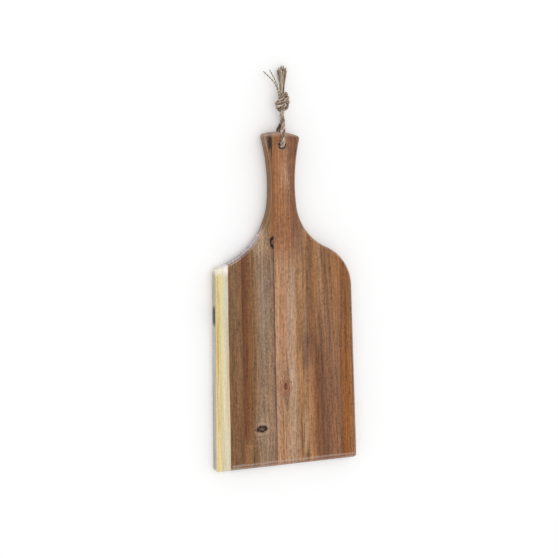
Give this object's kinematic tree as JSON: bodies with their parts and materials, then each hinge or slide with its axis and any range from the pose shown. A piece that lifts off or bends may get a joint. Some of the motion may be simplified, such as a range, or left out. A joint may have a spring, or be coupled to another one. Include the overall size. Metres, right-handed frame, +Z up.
{
  "type": "paddle charcuterie board",
  "caption": "Wooden paddle serving board of edge-glued staves, with a cornered left shoulder, a rounded right shoulder, a flared handle and a knotted rope hanging loop.",
  "frame": {"origin": "on the table under the middle of the board's bounding box, measured without the rope", "axes": "+X to the board's right, +Y from the lower end towards the handle, +Z up from the table; the board lies tilted by 0.9 degrees on its lower end and on the rope under its handle"},
  "size_m": [0.2058, 0.544, 0.0304],
  "materials": {
    "sapwood_stave": "satin oil",
    "knot_stave": "satin oil",
    "handle_stave": "satin oil",
    "right_stave": "satin oil",
    "outer_stave": "satin oil",
    "glue": "cured glue, flush with the wood",
    "jute": "natural twisted jute"
  },
  "bodies": {
    "board": {"sapwood_stave": "sapwood_stave", "knot_stave": "knot_stave", "handle_stave": "handle_stave", "right_stave": "right_stave", "outer_stave": "outer_stave", "glue_line_1": "glue", "glue_line_2": "glue", "glue_line_3": "glue", "glue_line_4": "glue"},
    "rope": {"rope_loop": "jute", "rope_knot": "jute", "frayed_ends": "jute", "stray_yarns": "jute"}
  },
  "joints": [
    {"name": "rope_swing", "type": "hinge", "parent": "board", "child": "rope", "pos_m": [0, 0.21082, 0.0149], "axis": [0, -0.0158, 0.9999], "range_deg": [-125, 134]}
  ]
}
